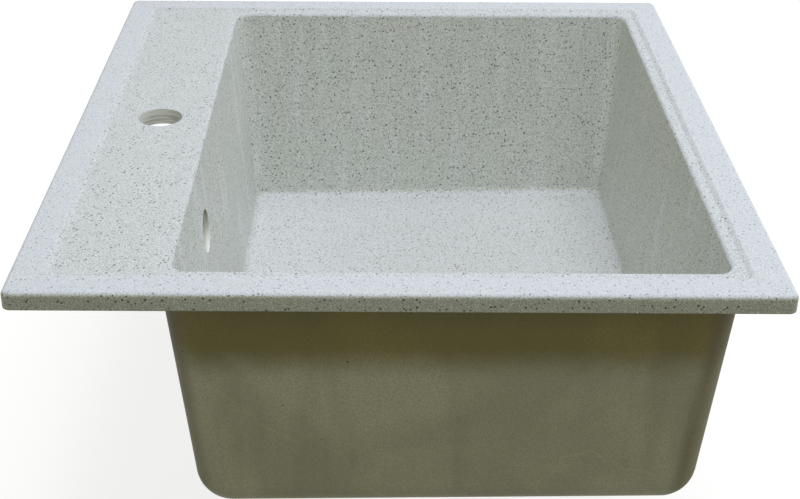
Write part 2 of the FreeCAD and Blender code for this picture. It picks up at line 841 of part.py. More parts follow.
def make_basket_knob():
    """Pull knob with a foot on the basket's floor and a stud through it."""
    body = drain_body("basket_knob")
    stud = size.knob_thread / 2
    neck = size.knob_neck / 2
    foot = size.knob_foot / 2
    grip = size.knob_grip / 2
    base = basket_base + size.basket_sheet
    top = base + size.knob_height
    tip = basket_base - size.seal_disc - size.nut_height
    spin(body, [
        (0, tip),
        (stud, tip),
        (stud, base),
        (foot, base),
        (foot, base + size.knob_foot_height),
        (neck, base + size.knob_foot_height),
        (neck, top - size.knob_grip_height),
        (grip, top - size.knob_grip_height),
        (grip, top),
        (0, top),
    ])
    round_edges(body, size.knob_round, lambda edge: is_ring(edge, grip, top))
    round_edges(body, size.knob_round, lambda edge: is_ring(edge, grip, top - size.knob_grip_height))
    round_edges(body, size.knob_round, lambda edge: is_ring(edge, neck, base + size.knob_foot_height))
    return body


def make_knob_nut():
    body = drain_body("knob_nut")
    base = basket_base - size.seal_disc - size.nut_height
    prism = draw_outline(new_sketch(body, "XY_Plane", base), hexagon(size.nut_flats))
    pad(body, prism, size.nut_height)
    bore = new_sketch(body, "XY_Plane", base)
    draw_circle(bore, 0, 0, size.knob_thread + 2 * size.thread_clearance)
    pocket(body, bore, size.nut_height, up=True)
    return body


# The worktop clips

def clip_body(label, corner):
    side, end = CLIPS[corner]
    return new_body(f"{corner}_{label}", x=side * size.clip_spread, y=end * clip_y)


def make_clip_plug(corner):
    """Nylon plug pressed into the rim from below, with a collar under it."""
    body = clip_body("plug", corner)
    bore = size.stud_thread / 2 + size.thread_clearance
    outer = size.plug_diameter / 2
    collar = size.plug_collar / 2
    under = -size.step_height
    top = under + plug_length
    spin(body, [
        (bore, under - size.plug_collar_height),
        (collar, under - size.plug_collar_height),
        (collar, under),
        (outer, under),
        (outer, top),
        (bore, top),
    ])
    return body


def make_clip_stud(corner):
    """Stud that hangs from the plug."""
    body = clip_body("stud", corner)
    shank = size.stud_thread / 2
    neck = shank - size.stud_chamfer
    tip = plug_length - size.step_height - size.screw_tip
    base = claw_base - size.clip_flange_height - size.clip_nut_height - size.stud_end
    spin(body, [
        (0, base),
        (neck, base),
        (shank, base + size.stud_chamfer),
        (shank, tip - size.stud_chamfer),
        (neck, tip),
        (0, tip),
    ])
    return body


def make_clip_nut(corner):
    """Flanged nut that runs up the stud and lifts the claw."""
    body = clip_body("nut", corner)
    flange = new_sketch(body, "XY_Plane", claw_base)
    draw_circle(flange, 0, 0, size.clip_flange)
    pad(body, flange, size.clip_flange_height, down=True)
    prism = new_sketch(body, "XY_Plane", claw_base - size.clip_flange_height)
    draw_outline(prism, hexagon(size.clip_flats))
    pad(body, prism, size.clip_nut_height, down=True)
    bore = new_sketch(body, "XY_Plane", claw_base)
    draw_circle(bore, 0, 0, size.stud_thread + 2 * size.thread_clearance)
    pocket(body, bore, size.clip_flange_height + size.clip_nut_height)
    return body


def make_clip_claw(corner):
    """Bent strip that turns on the stud, with a turned-up tip that grips under the worktop."""
    body = clip_body("claw", corner)
    inward = -CLIPS[corner][0]
    sheet = size.claw_sheet
    half_width = size.claw_width / 2
    bend = size.claw_flat
    shelf = size.claw_flat + size.claw_rise / tangent(size.claw_bend)
    tip = size.claw_reach
    low = claw_base
    high = claw_base + size.claw_rise
    lean = sheet * tangent(size.claw_bend / 2)
    side_view = [
        (-half_width, low),
        (bend, low),
        (shelf, high),
        (tip, high),
        (tip, high + sheet + size.claw_tooth),
        (tip - sheet, high + sheet + size.claw_tooth),
        (tip - sheet, high + sheet),
        (shelf - lean, high + sheet),
        (bend - lean, low + sheet),
        (-half_width, low + sheet),
    ]
    strip = new_sketch(body, "XZ_Plane")
    draw_outline(strip, [(inward * x, z) for x, z in side_view])
    pad_both_ways(body, strip, size.claw_width)
    round_edges(body, half_width * END_ROUND,
                lambda edge: climbs(edge) and abs(marks(edge)[1].x + inward * half_width.value) < CLOSE)
    hole = new_sketch(body, "XY_Plane", low)
    draw_circle(hole, 0, 0, size.stud_thread + 2 * size.turning_clearance)
    pocket(body, hole, sheet, up=True)
    return body


def make_parts():
    parts = [
        make_sink_body(),
        make_strainer_dish(),
        make_dish_gasket(),
        make_body_gasket(),
        make_waste_body(),
        make_clamp_screw(),
        make_insert_nut(),
        make_strainer_basket(),
        make_basket_seal(),
        make_basket_knob(),
        make_knob_nut(),
    ]
    for corner in CLIPS:
        parts += [make_clip_plug(corner), make_clip_stud(corner)]
        parts += [make_clip_nut(corner), make_clip_claw(corner)]
    return parts


def check_document(parts):
    doc.recompute()
    failed = [item.Label for item in doc.Objects if {"Invalid", "Error"} & set(item.State)]
    failed += [part.Label for part in parts if part.Shape.isNull() or not part.Shape.isValid()]
    failed += [part.Label for part in parts if len(part.Shape.Solids) != 1]
    if failed:
        raise ValueError(f"failed: {failed}")


def write_parts(parts):
    os.makedirs("parts", exist_ok=True)
    for part in parts:
        part.Shape.exportStep(f"parts/{part.Label}.step")


parts = make_parts()
check_document(parts)
write_parts(parts)
for part in parts:
    print(f"{part.Label}: {part.Shape.Volume:.0f} mm3, {len(part.Shape.Faces)} faces")
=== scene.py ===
import json
import math

import bmesh
import bpy
from mathutils import Matrix, Vector


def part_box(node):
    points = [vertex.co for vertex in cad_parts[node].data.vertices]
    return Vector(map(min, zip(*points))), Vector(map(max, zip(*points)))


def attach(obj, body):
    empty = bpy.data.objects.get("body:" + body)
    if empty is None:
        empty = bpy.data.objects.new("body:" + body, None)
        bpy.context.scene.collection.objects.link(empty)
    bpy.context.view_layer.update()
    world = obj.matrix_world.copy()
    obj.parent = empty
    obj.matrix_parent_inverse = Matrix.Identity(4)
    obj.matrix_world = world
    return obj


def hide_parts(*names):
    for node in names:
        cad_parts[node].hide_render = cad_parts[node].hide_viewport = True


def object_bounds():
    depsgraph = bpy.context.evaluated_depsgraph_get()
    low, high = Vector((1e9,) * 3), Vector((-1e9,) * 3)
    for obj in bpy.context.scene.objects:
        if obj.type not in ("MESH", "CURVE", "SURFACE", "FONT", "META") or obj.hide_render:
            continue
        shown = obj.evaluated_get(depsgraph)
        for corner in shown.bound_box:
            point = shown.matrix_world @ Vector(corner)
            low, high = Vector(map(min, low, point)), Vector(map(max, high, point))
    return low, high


# A stone composite kitchen sink with its basket waste and worktop clips. Lengths are in metres.

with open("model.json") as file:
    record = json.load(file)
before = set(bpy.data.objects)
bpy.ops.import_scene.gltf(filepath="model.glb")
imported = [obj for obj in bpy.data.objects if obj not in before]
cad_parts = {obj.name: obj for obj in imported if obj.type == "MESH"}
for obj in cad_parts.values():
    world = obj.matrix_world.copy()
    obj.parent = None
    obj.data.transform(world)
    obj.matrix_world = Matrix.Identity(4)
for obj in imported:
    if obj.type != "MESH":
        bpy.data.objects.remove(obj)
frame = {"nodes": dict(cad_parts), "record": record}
cad_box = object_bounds()

# The photograph's viewpoint, on the left of the sink and above it
EYE = (-1.0714, 0.0133, 0.4758)
YAW = math.radians(0.113)
PITCH = math.radians(28.66)
ROLL = math.radians(0.228)
LENS = 64.697
SENSOR = 36
SHIFT = 0.0296

# Places on the sink that its surface follows
BOWL_MIDDLE = (0, -0.0345)
TAP_HOLE = (0, 0.1905)
TAP_RADIUS = 0.0176
OVERFLOW = (-0.090, -0.045)
OVERFLOW_RADIUS = 0.0171
OVERFLOW_FRONT = 0.125
DRAIN = (0, 0.045)
DRAIN_RADIUS = 0.0452
PANEL_HALF = (0.262, 0.232)
PANEL_TOP = 0.011
BORDER_TOP = 0.013
UNDERSIDE = -0.191

# Where one look of the sink goes over into another, from start to end
LEDGE_TO_PANEL = (0.170, 0.125)
PANEL_TO_FLOOR = (-0.02, -0.12)
PANEL_TO_WALL = (0.0105, 0.0065)
PANEL_TO_BORDER = (-0.002, 0.001)
BORDER_TO_SIDE = (0.0124, 0.0104)
COAT_TO_RAW = (0.0012, 0.0)
RAW_BELOW = (UNDERSIDE + 0.004, UNDERSIDE + 0.002)
# Painted shadow of the rim on the raw outside: where its ragged lower edge lies, and how ragged it
# is
RIM_SHADOW_EDGE = (-0.066, -0.036)
RIM_SHADOW_RAGGEDNESS = 0.012
# Painted shade just under the rim
UNDER_RIM_SHADE = (-0.034, -0.012)

# How far a normal leans there, from start to end
UPRIGHT = (0.6, 0.4)
STEEP = (0.85, 0.60)
TO_BACK = (0.3, 0.8)
TO_FRONT = (-0.3, -0.8)
# The raw front and back faces, which get painted shade
RAW_TO_FRONT = (-0.05, -0.50)
RAW_TO_BACK = (0.38, 0.90)
BORE_TO_BACK = (-0.3, 0.9)
BORE_ROOF = (-0.1, -0.5)

# How far it points away from the bowl's middle, times the distance from there.
# Underneath, a normal that points down counts too.
OUTWARD = (-0.01, 0.01)
FAR_OUTWARD = (0.10, 0.15)
DOWN_COUNTS = 0.15

# Gelcoat
GRAIN_TURN = (0.62, 0.41, 0.27)
LEDGE_SHADES = ((0.580, 0.622, 0.655), (0.640, 0.688, 0.727))
PANEL = (0.640, 0.682, 0.750)
BOWL_FLOOR = (0.731, 0.757, 0.812)
WALL_SHADES = ((0.716, 0.760, 0.708), (0.740, 0.757, 0.720))
# Painted shade, warm, on the front inner wall, and painted light, cool, on the back inner wall
FRONT_WALL_PAINTED_SHADE = (0.97, 0.97, 0.91)
BACK_WALL_PAINTED_LIGHT = (1.02, 1.015, 1.045)
BORDER = (0.650, 0.692, 0.768)
# Pale vertical streaks on the inner walls, and how far their noise is stretched
PALE_STREAK = (0.90, 0.935, 0.96)
STREAK_STRETCH = (70.0, 70.0, 5.0)
# Painted shade, warm and dark, on the outer sides of the rim
RIM_SIDE_SHADE = (0.430, 0.455, 0.320)
# Start, end and strength of the darker and the lighter part of the fine grain, and their colours
FINE_GRAIN = (
    (0.46, 0.68, 0.62, (0.30, 0.32, 0.29)),
    (0.48, 0.30, 0.60, (0.90, 0.93, 0.92)),
)
# Grains a metre, radius as a share of their distance, share that shows, strength and colour
COAT_SPECKS = (
    (620.0, 0.46, 0.80, 0.72, (0.25, 0.26, 0.24)),
    (320.0, 0.33, 0.62, 0.95, (0.045, 0.048, 0.042)),
)

# Raw resin
RESIN_SHADES = ((0.360, 0.355, 0.222), (0.500, 0.493, 0.328))
RESIN_CLOUD = (0.600, 0.588, 0.392)
RESIN_MARK = (0.640, 0.615, 0.360)
RESIN_RUN = (0.260, 0.245, 0.140)
RUN_STRETCH = (26.0, 26.0, 3.5)
RESIN_GRAIN = (0.240, 0.225, 0.125)
# Painted shadow of the rim on the raw outside
RIM_SHADOW_TINT = (0.50, 0.44, 0.175)
# Painted shade just under the rim
UNDER_RIM_SHADE_TINT = (0.76, 0.78, 0.74)
# Painted shade on the raw front and back
RAW_SIDE_SHADE = (0.40, 0.387, 0.263)
# Near-black painted shade in the pinholes and chips
PIT_SHADE = (0.022, 0.020, 0.010)
PIT_DEPTH = 4.0
LUMP_HEIGHT = 1.4
PEEL_HEIGHT = 0.35

# Cut bores, with the stretch that lays a cutter's rings along Z or along Y
CUT_SHADES = ((0.66, 0.69, 0.62), (0.99, 1.0, 0.98))
# Painted shade on the side of each bore that faces the back
CUT_SIDE_SHADE = (0.55, 0.56, 0.50)
# Painted shade on the roof of the bores
CUT_ROOF_SHADE = (0.26, 0.25, 0.18)
RINGS_ALONG_Z = (40.0, 40.0, 900.0)
RINGS_ALONG_Y = (40.0, 900.0, 40.0)

# Fittings
STAINLESS_SHADES = ((0.56, 0.56, 0.55), (0.66, 0.66, 0.65))
RUBBER_SHADES = ((0.018, 0.018, 0.019), (0.050, 0.050, 0.049))
PLASTIC_SHADES = ((0.70, 0.70, 0.675), (0.80, 0.80, 0.785))
PLASTIC_FLOW = (18.0, 18.0, 40.0)
BRASS_SHADES = ((0.72, 0.51, 0.20), (0.60, 0.42, 0.18))
CHROME_SHADES = ((0.74, 0.74, 0.75), (0.80, 0.80, 0.81))
ZINC_SHADES = ((0.47, 0.48, 0.50), (0.62, 0.63, 0.64))
ZINC_PASSIVATED = (0.60, 0.55, 0.40)
NYLON_SHADES = ((0.66, 0.62, 0.51), (0.76, 0.73, 0.63))

# Threads. A groove runs out to its last share, so that its wedge stays a solid.
STUD_PITCH = 0.0008
STUD_DEPTH = 0.00045
STUD_STEPS = 16
OUTLET_TOP = -0.2640
OUTLET_CLEAR = 0.02405
OUTLET_ROOT = 0.02275
OUTLET_GROOVE = 0.00226
OUTLET_PITCH = 0.002309
OUTLET_STEPS = 48
OUTLET_LAST_SHARE = 0.02
WELD = 1e-6
SHARP = math.radians(35)

# Floor and light
FLOOR_ROOM = 0.0005
FLOOR_HALF = 12.0
FLOOR_GREY = (0.30, 0.30, 0.30, 1.0)
FLOOR_GLOW_REACH = (0.6, 2.6)
FLOOR_GLOW = (0.82, 1.0)
STUDIO_LIGHT = (1.0, 0.985, 0.86, 1.0)
STUDIO_STRENGTH = 0.255
WHITE = (1.0, 1.0, 1.0, 1.0)
# Name, place, width, watts, colour, and whether metal mirrors the lamp: all aim at the sink.
# The overhead one isn't mirrored, so that brushed steel keeps its tone from above.
LAMPS = (
    ("overhead", (0, -0.3, 2.0), 1.6, 26.2, (0.965, 0.982, 1.0), False),
    ("right_side", (0.45, -2.0, 0.9), 1.2, 11.5, (0.900, 0.950, 1.0), True),
    ("near_overhead", (-1.15, 0.10, 1.77), 0.35, 6.0, (1.0, 1.0, 0.98), True),
)


def link(thing):
    bpy.context.scene.collection.objects.link(thing)
    return thing


def add_camera():
    level_share = math.cos(PITCH)
    forward = Vector((level_share * math.cos(YAW), level_share * math.sin(YAW), -math.sin(PITCH)))
    level = forward.cross(Vector((0, 0, 1))).normalized()
    upright = level.cross(forward)
    right = math.cos(ROLL) * level + math.sin(ROLL) * upright
    up = math.cos(ROLL) * upright - math.sin(ROLL) * level
    data = bpy.data.cameras.new("camera")
    data.lens = LENS
    data.sensor_width = SENSOR
    data.shift_x = SHIFT
    camera = link(bpy.data.objects.new("camera", data))
    turn = Matrix((right, up, -forward)).transposed()
    camera.matrix_world = Matrix.Translation(EYE) @ turn.to_4x4()
    bpy.context.scene.camera = camera


class Tree:
    """The nodes of a material or of the world."""

    # Where a Mix node has its share and its two colours, and its colour result
    MIX_INPUTS = (0, 6, 7)
    MIX_OUTPUT = 2

    def __init__(self, owner):
        owner.use_nodes = True
        self.tree = owner.node_tree
        self.tree.nodes.clear()

    def add(self, kind, inputs=(), **settings):
        node = self.tree.nodes.new(kind)
        for field, value in settings.items():
            setattr(node, field, value)
        for socket, value in dict(inputs).items():
            self.feed(node.inputs[socket], value)
        return node

    def feed(self, socket, value):
        if isinstance(value, bpy.types.NodeSocket):
            self.tree.links.new(value, socket)
        else:
            socket.default_value = value

    def output(self, kind, shader):
        """Ends the tree in a shader."""
        self.tree.links.new(shader.outputs[0], self.add(kind).inputs["Surface"])

    def math(self, operation, *values):
        return self.add("ShaderNodeMath", enumerate(values), operation=operation).outputs[0]

    def highest(self, *values):
        result = values[0]
        for value in values[1:]:
            result = self.math("MAXIMUM", result, value)
        return result

    def product(self, *values):
        result = values[0]
        for value in values[1:]:
            result = self.math("MULTIPLY", result, value)
        return result

    def squared_distance(self, first, second, middle):
        """The square of the distance from a middle, in the plane of two coordinates."""
        across = self.math("SUBTRACT", first, middle[0])
        along = self.math("SUBTRACT", second, middle[1])
        return self.math("ADD", self.product(across, across), self.product(along, along))

    def ramp(self, value, start, end, low=0.0, high=1.0):
        """Goes smoothly from low at start to high at end."""
        inputs = {"Value": value, "From Min": start, "From Max": end, "To Min": low, "To Max": high}
        node = self.add("ShaderNodeMapRange", inputs, interpolation_type="SMOOTHSTEP")
        return node.outputs["Result"]

    def mix(self, share, first, second):
        node = self.add("ShaderNodeMix", data_type="RGBA")
        for place, value in zip(self.MIX_INPUTS, (share, first, second)):
            self.feed(node.inputs[place], rgba(value))
        return node.outputs[self.MIX_OUTPUT]

    def shade(self, share, colour, shares):
        """Multiplies a share of the surface by the shares of red, green and blue that stay."""
        node = self.add("ShaderNodeVectorMath", {0: colour, 1: shares}, operation="MULTIPLY")
        return self.mix(share, colour, node.outputs[0])

    def split(self, vector):
        return self.add("ShaderNodeSeparateXYZ", {"Vector": vector}).outputs

    def join(self, x, y, z):
        return self.add("ShaderNodeCombineXYZ", {"X": x, "Y": y, "Z": z}).outputs[0]

    def stretch(self, place, scale):
        return self.add("ShaderNodeMapping", {"Vector": place, "Scale": scale}).outputs[0]

    def turn(self, place, angles):
        return self.add("ShaderNodeMapping", {"Vector": place, "Rotation": angles}).outputs[0]

    def noise(self, place, scale, detail=2.0, distortion=0.0):
        inputs = {"Vector": place, "Scale": scale, "Detail": detail, "Distortion": distortion}
        return self.add("ShaderNodeTexNoise", inputs).outputs["Fac"]

    def specks(self, place, scale, radius, share):
        """Uneven round grains: scale is grains a metre, radius a share of their distance."""
        cells = self.add("ShaderNodeTexVoronoi", {"Vector": place, "Scale": scale})
        parts = self.add("ShaderNodeSeparateColor", {"Color": cells.outputs["Color"]})
        size, chance, _ = parts.outputs
        reach = self.math("MULTIPLY_ADD", size, radius * 0.6, radius * 0.4)
        depth = self.math("DIVIDE", cells.outputs["Distance"], reach)
        return self.product(self.ramp(depth, 1.0, 0.7), self.math("LESS_THAN", chance, share))

    def bump(self, height, distance):
        node = self.add("ShaderNodeBump", {"Height": height, "Distance": distance})
        return node.outputs["Normal"]


def rgba(value):
    return (*value, 1.0) if isinstance(value, tuple) and len(value) == 3 else value


class Surface(Tree):
    """A material, with the place on the piece in the frame of the sink."""

    def __init__(self, name):
        self.material = bpy.data.materials.new(name)
        super().__init__(self.material)
        self.place = self.add("ShaderNodeTexCoord").outputs["Object"]

    def finish(self, **fields):
        shader = self.add("ShaderNodeBsdfPrincipled")
        for field, value in fields.items():
            self.feed(shader.inputs[field.replace("_", " ")], rgba(value))
        self.output("ShaderNodeOutputMaterial", shader)
        return self.material


# The sink: speckled gelcoat on top and inside, cut bores, raw resin outside

def gelcoat(surface, border, upright, rim_side_shade, facing_y):
    """Pale ground with dark, grey and light grains, and less of them on the smooth border."""
    _, y, z = surface.split(surface.place)
    place = surface.turn(surface.place, GRAIN_TURN)

    level = surface.mix(surface.noise(place, scale=22.0, detail=3.0), *LEDGE_SHADES)
    level = surface.mix(surface.ramp(y, *LEDGE_TO_PANEL, high=0.9), level, PANEL)
    level = surface.mix(surface.ramp(z, *PANEL_TO_FLOOR), level, BOWL_FLOOR)
    patch = surface.ramp(surface.noise(place, scale=13.0, detail=3.0), 0.38, 0.62)
    walls = surface.mix(patch, *WALL_SHADES)
    # Painted shade on the front wall and painted light on the back wall
    walls = surface.shade(surface.ramp(facing_y, *TO_BACK), walls, FRONT_WALL_PAINTED_SHADE)
    walls = surface.shade(surface.ramp(facing_y, *TO_FRONT), walls, BACK_WALL_PAINTED_LIGHT)
    on_wall = surface.product(upright, surface.ramp(z, *PANEL_TO_WALL))
    ground = surface.mix(on_wall, level, walls)
    ground = surface.mix(border, ground, BORDER)

    # Pale vertical streaks on the inner walls, strongest on the back wall
    streak_noise = surface.noise(surface.stretch(surface.place, STREAK_STRETCH), scale=1.0, detail=3.0)
    streak_strength = surface.ramp(facing_y, *TO_FRONT, low=0.35, high=0.75)
    pale_streaks = surface.product(surface.ramp(streak_noise, 0.50, 0.68), upright, streak_strength)
    ground = surface.mix(pale_streaks, ground, PALE_STREAK)
    # Painted shade on the outer sides of the rim
    ground = surface.mix(rim_side_shade, ground, RIM_SIDE_SHADE)

    calm = surface.product(surface.ramp(border, 0.0, 1.0, low=1.0, high=0.60),
                           surface.ramp(upright, 0.0, 1.0, low=0.90, high=1.10))
    grain = surface.noise(place, scale=1150.0, detail=1.0)
    for start, end, strength, colour in FINE_GRAIN:
        share = surface.product(surface.ramp(grain, start, end, high=strength), calm)
        ground = surface.mix(share, ground, colour)
    for scale, radius, shown, strength, colour in COAT_SPECKS:
        share = surface.product(surface.specks(place, scale, radius, shown), calm, strength)
        ground = surface.mix(share, ground, colour)
    return ground


def raw_resin(surface, z, facing_y):
    """Khaki casting with clouds, run marks, pinholes and chips.

    It has a painted shadow of the rim and painted shade under it, painted shade at the front and
    back, and near-black painted shade in its pinholes and chips.
    """
    place = surface.turn(surface.place, GRAIN_TURN)
    ground = surface.mix(surface.noise(place, scale=5.0, detail=4.0), *RESIN_SHADES)
    cloud = surface.noise(place, scale=10.0, detail=5.0, distortion=0.4)
    ground = surface.mix(surface.ramp(cloud, 0.44, 0.64, high=0.65), ground, RESIN_CLOUD)
    folds = surface.math("SUBTRACT", surface.noise(place, scale=6.0, detail=5.0), 0.5)
    marks = surface.math("ABSOLUTE", folds)
    ground = surface.mix(surface.ramp(marks, 0.009, 0.0, high=0.30), ground, RESIN_MARK)
    runs = surface.noise(surface.stretch(surface.place, RUN_STRETCH), scale=1.0, detail=4.0)
    ground = surface.mix(surface.ramp(runs, 0.48, 0.72, high=0.50), ground, RESIN_RUN)
    grain = surface.noise(place, scale=1300.0, detail=3.0)
    ground = surface.mix(surface.ramp(grain, 0.40, 0.64, high=0.62), ground, RESIN_GRAIN)

    # Painted shadow of the rim, with a ragged lower edge; the near lamp casts a weaker real shadow
    # there too
    shadow_wobble = surface.noise(place, scale=45.0, detail=3.0)
    shadow_line = surface.math("MULTIPLY_ADD", shadow_wobble, RIM_SHADOW_RAGGEDNESS, z)
    ground = surface.shade(surface.ramp(shadow_line, *RIM_SHADOW_EDGE), ground, RIM_SHADOW_TINT)
    # Painted shade, deeper still, just under the rim
    ground = surface.shade(surface.ramp(z, *UNDER_RIM_SHADE, high=0.8), ground, UNDER_RIM_SHADE_TINT)
    # Painted shade on the raw front and back
    side_shade = surface.highest(surface.ramp(facing_y, *RAW_TO_FRONT),
                           surface.ramp(facing_y, *RAW_TO_BACK))
    ground = surface.shade(side_shade, ground, RAW_SIDE_SHADE)

    # Pinholes and chips, dented by the bump and filled with near-black painted shade
    holes = surface.specks(place, scale=45.0, radius=0.045, share=0.9)
    chips = surface.specks(place, scale=15.0, radius=0.10, share=0.60)
    chips = surface.product(chips, surface.ramp(surface.noise(place, scale=260.0), 0.45, 0.55))
    pits = surface.highest(holes, chips)
    return surface.mix(pits, ground, PIT_SHADE), pits


def within(surface, first, second, middle, radius):
    """One inside a circle about a middle, in the plane of two coordinates."""
    distance = surface.squared_distance(first, second, middle)
    return surface.math("LESS_THAN", distance, radius * radius)


def cut_face(surface, stretch):
    """Pale filler in which a cutter has left rings."""
    rings = surface.noise(surface.stretch(surface.place, stretch), scale=1.0, detail=2.0)
    return surface.mix(surface.ramp(rings, 0.32, 0.56), *CUT_SHADES)


def make_composite():
    surface = Surface("stone_composite")
    x, y, z = surface.split(surface.place)
    facing = surface.add("ShaderNodeNewGeometry").outputs["Normal"]
    facing_x, facing_y, facing_z = surface.split(facing)
    flat = surface.math("ABSOLUTE", facing_z)
    upright = surface.ramp(flat, *UPRIGHT)

    outward_x = surface.product(facing_x, surface.math("SUBTRACT", x, BOWL_MIDDLE[0]))
    outward_y = surface.product(facing_y, surface.math("SUBTRACT", y, BOWL_MIDDLE[1]))
    outward = surface.math("ADD", outward_x, outward_y)
    turned_out = surface.math("SUBTRACT", outward, surface.product(facing_z, DOWN_COUNTS))
    raw = surface.product(surface.ramp(turned_out, *OUTWARD), surface.ramp(z, *COAT_TO_RAW))
    raw = surface.highest(raw, surface.ramp(z, *RAW_BELOW))

    sideways = surface.ramp(surface.math("ABSOLUTE", facing_y), *UPRIGHT)
    behind = surface.math("GREATER_THAN", y, OVERFLOW_FRONT)
    in_overflow = within(surface, x, z, OVERFLOW, OVERFLOW_RADIUS)
    overflow = surface.product(in_overflow, sideways, behind)
    cut = surface.highest(
        surface.product(within(surface, x, y, TAP_HOLE, TAP_RADIUS), upright),
        surface.product(within(surface, x, y, DRAIN, DRAIN_RADIUS), upright),
        overflow,
    )

    past_end = surface.math("SUBTRACT", surface.math("ABSOLUTE", x), PANEL_HALF[0])
    past_side = surface.math("SUBTRACT", surface.math("ABSOLUTE", y), PANEL_HALF[1])
    past = surface.highest(past_end, past_side)
    border = surface.product(surface.ramp(past, *PANEL_TO_BORDER),
                             surface.ramp(z, PANEL_TOP, BORDER_TOP))
    # The outer sides of the rim, which get painted shade
    rim_side_shade = surface.product(surface.ramp(flat, *STEEP), surface.ramp(outward, *FAR_OUTWARD),
                               surface.ramp(z, *BORDER_TO_SIDE))

    coat = gelcoat(surface, border, upright, rim_side_shade, facing_y)
    resin, pits = raw_resin(surface, z, facing_y)
    core = surface.mix(overflow, cut_face(surface, RINGS_ALONG_Z), cut_face(surface, RINGS_ALONG_Y))
    # Painted shade on the side of each bore that faces the back
    core = surface.shade(surface.ramp(facing_y, *BORE_TO_BACK, high=0.50), core, CUT_SIDE_SHADE)
    # Painted shade on the down-facing roof of the bores
    core = surface.mix(surface.ramp(facing_z, *BORE_ROOF, high=0.75), core, CUT_ROOF_SHADE)
    colour = surface.mix(raw, coat, resin)
    colour = surface.mix(cut, colour, core)

    orange_peel = surface.noise(surface.place, scale=240.0)
    lumps = surface.product(surface.noise(surface.place, scale=70.0, detail=4.0), raw)
    height = surface.math("ADD", surface.product(orange_peel, PEEL_HEIGHT),
                          surface.product(lumps, LUMP_HEIGHT))
    height = surface.math("SUBTRACT", height, surface.product(pits, raw, PIT_DEPTH))
    haze = surface.noise(surface.place, scale=60.0, detail=3.0)
    rough = surface.math("MULTIPLY_ADD", raw, 0.18, 0.40)
    rough = surface.math("ADD", rough, surface.product(haze, 0.12))
    return surface.finish(Base_Color=colour, Roughness=rough,
                          Normal=surface.bump(height, distance=0.00022))


# The fittings

def turned_lines(surface, scale):
    """Fine rings about the drain's axis, as brushing or turning leaves them."""
    x, y, z = surface.split(surface.place)
    radius = surface.math("SQRT", surface.squared_distance(x, y, DRAIN))
    return surface.noise(surface.join(radius, 0.0, z), scale, detail=3.0)


def make_stainless():
    surface = Surface("brushed_stainless")
    lines = turned_lines(surface, scale=2600.0)
    stain = surface.noise(surface.place, scale=45.0, detail=4.0)
    brushed = surface.ramp(lines, 0.3, 0.7, low=0.20, high=0.36)
    rough = surface.math("ADD", brushed, surface.product(stain, 0.06))
    return surface.finish(Base_Color=surface.mix(stain, *STAINLESS_SHADES), Metallic=1.0,
                          Roughness=rough, Normal=surface.bump(lines, distance=0.00003))


def make_rubber():
    surface = Surface("moulded_rubber")
    bloom = surface.ramp(surface.noise(surface.place, scale=60.0, detail=4.0), 0.45, 0.75)
    grain = surface.noise(surface.place, scale=1500.0)
    rough = surface.math("MULTIPLY_ADD", bloom, 0.18, 0.58)
    return surface.finish(Base_Color=surface.mix(bloom, *RUBBER_SHADES),
                          Roughness=rough, Normal=surface.bump(grain, distance=0.00005))


def make_white_plastic():
    surface = Surface("moulded_plastic")
    flow = surface.noise(surface.stretch(surface.place, PLASTIC_FLOW), scale=1.0, detail=3.0)
    grain = surface.noise(surface.place, scale=1300.0)
    rough = surface.math("MULTIPLY_ADD", flow, 0.16, 0.34)
    return surface.finish(Base_Color=surface.mix(flow, *PLASTIC_SHADES),
                          Roughness=rough, Normal=surface.bump(grain, distance=0.00004))


def make_brass():
    surface = Surface("turned_brass")
    lines = turned_lines(surface, scale=3000.0)
    tarnish = surface.noise(surface.place, scale=180.0, detail=3.0)
    rough = surface.ramp(lines, 0.3, 0.7, low=0.20, high=0.36)
    return surface.finish(Base_Color=surface.mix(tarnish, *BRASS_SHADES), Metallic=1.0,
                          Roughness=rough, Normal=surface.bump(lines, distance=0.00003))


def make_chrome():
    surface = Surface("polished_chrome")
    film = surface.noise(surface.place, scale=220.0, detail=4.0)
    rough = surface.ramp(film, 0.35, 0.75, low=0.05, high=0.16)
    ripple = surface.noise(surface.place, scale=130.0, detail=1.0)
    return surface.finish(Base_Color=surface.mix(film, *CHROME_SHADES), Metallic=1.0,
                          Roughness=rough, Normal=surface.bump(ripple, distance=0.00002))


def make_zinc_plate():
    surface = Surface("zinc_plate")
    spangle = surface.noise(surface.place, scale=320.0)
    film = surface.noise(surface.place, scale=70.0, detail=3.0)
    colour = surface.mix(spangle, *ZINC_SHADES)
    colour = surface.mix(surface.ramp(film, 0.50, 0.75, high=0.35), colour, ZINC_PASSIVATED)
    rough = surface.ramp(spangle, 0.3, 0.7, low=0.30, high=0.48)
    return surface.finish(Base_Color=colour, Metallic=1.0,
                          Roughness=rough, Normal=surface.bump(spangle, distance=0.00005))


def make_nylon():
    surface = Surface("moulded_nylon")
    flow = surface.noise(surface.place, scale=160.0, detail=3.0)
    grain = surface.noise(surface.place, scale=2200.0, detail=1.0)
    rough = surface.math("MULTIPLY_ADD", flow, 0.2, 0.36)
    return surface.finish(Base_Color=surface.mix(flow, *NYLON_SHADES),
                          Roughness=rough, Normal=surface.bump(grain, distance=0.00003))


def dress_nodes():
    """Gives each CAD node the finish of its material slot, and returns the finishes."""
    finishes = {
        "composite": make_composite(),
        "stainless": make_stainless(),
        "rubber": make_rubber(),
        "white_plastic": make_white_plastic(),
        "brass": make_brass(),
        "chrome": make_chrome(),
        "zinc_plate": make_zinc_plate(),
        "nylon": make_nylon(),
    }
    for piece in frame["record"]["subparts"]:
        for place in frame["nodes"][piece["node"]].material_slots:
            place.material = finishes[piece["material_slot"]]
    return finishes


# Threads, which the CAD model leaves out

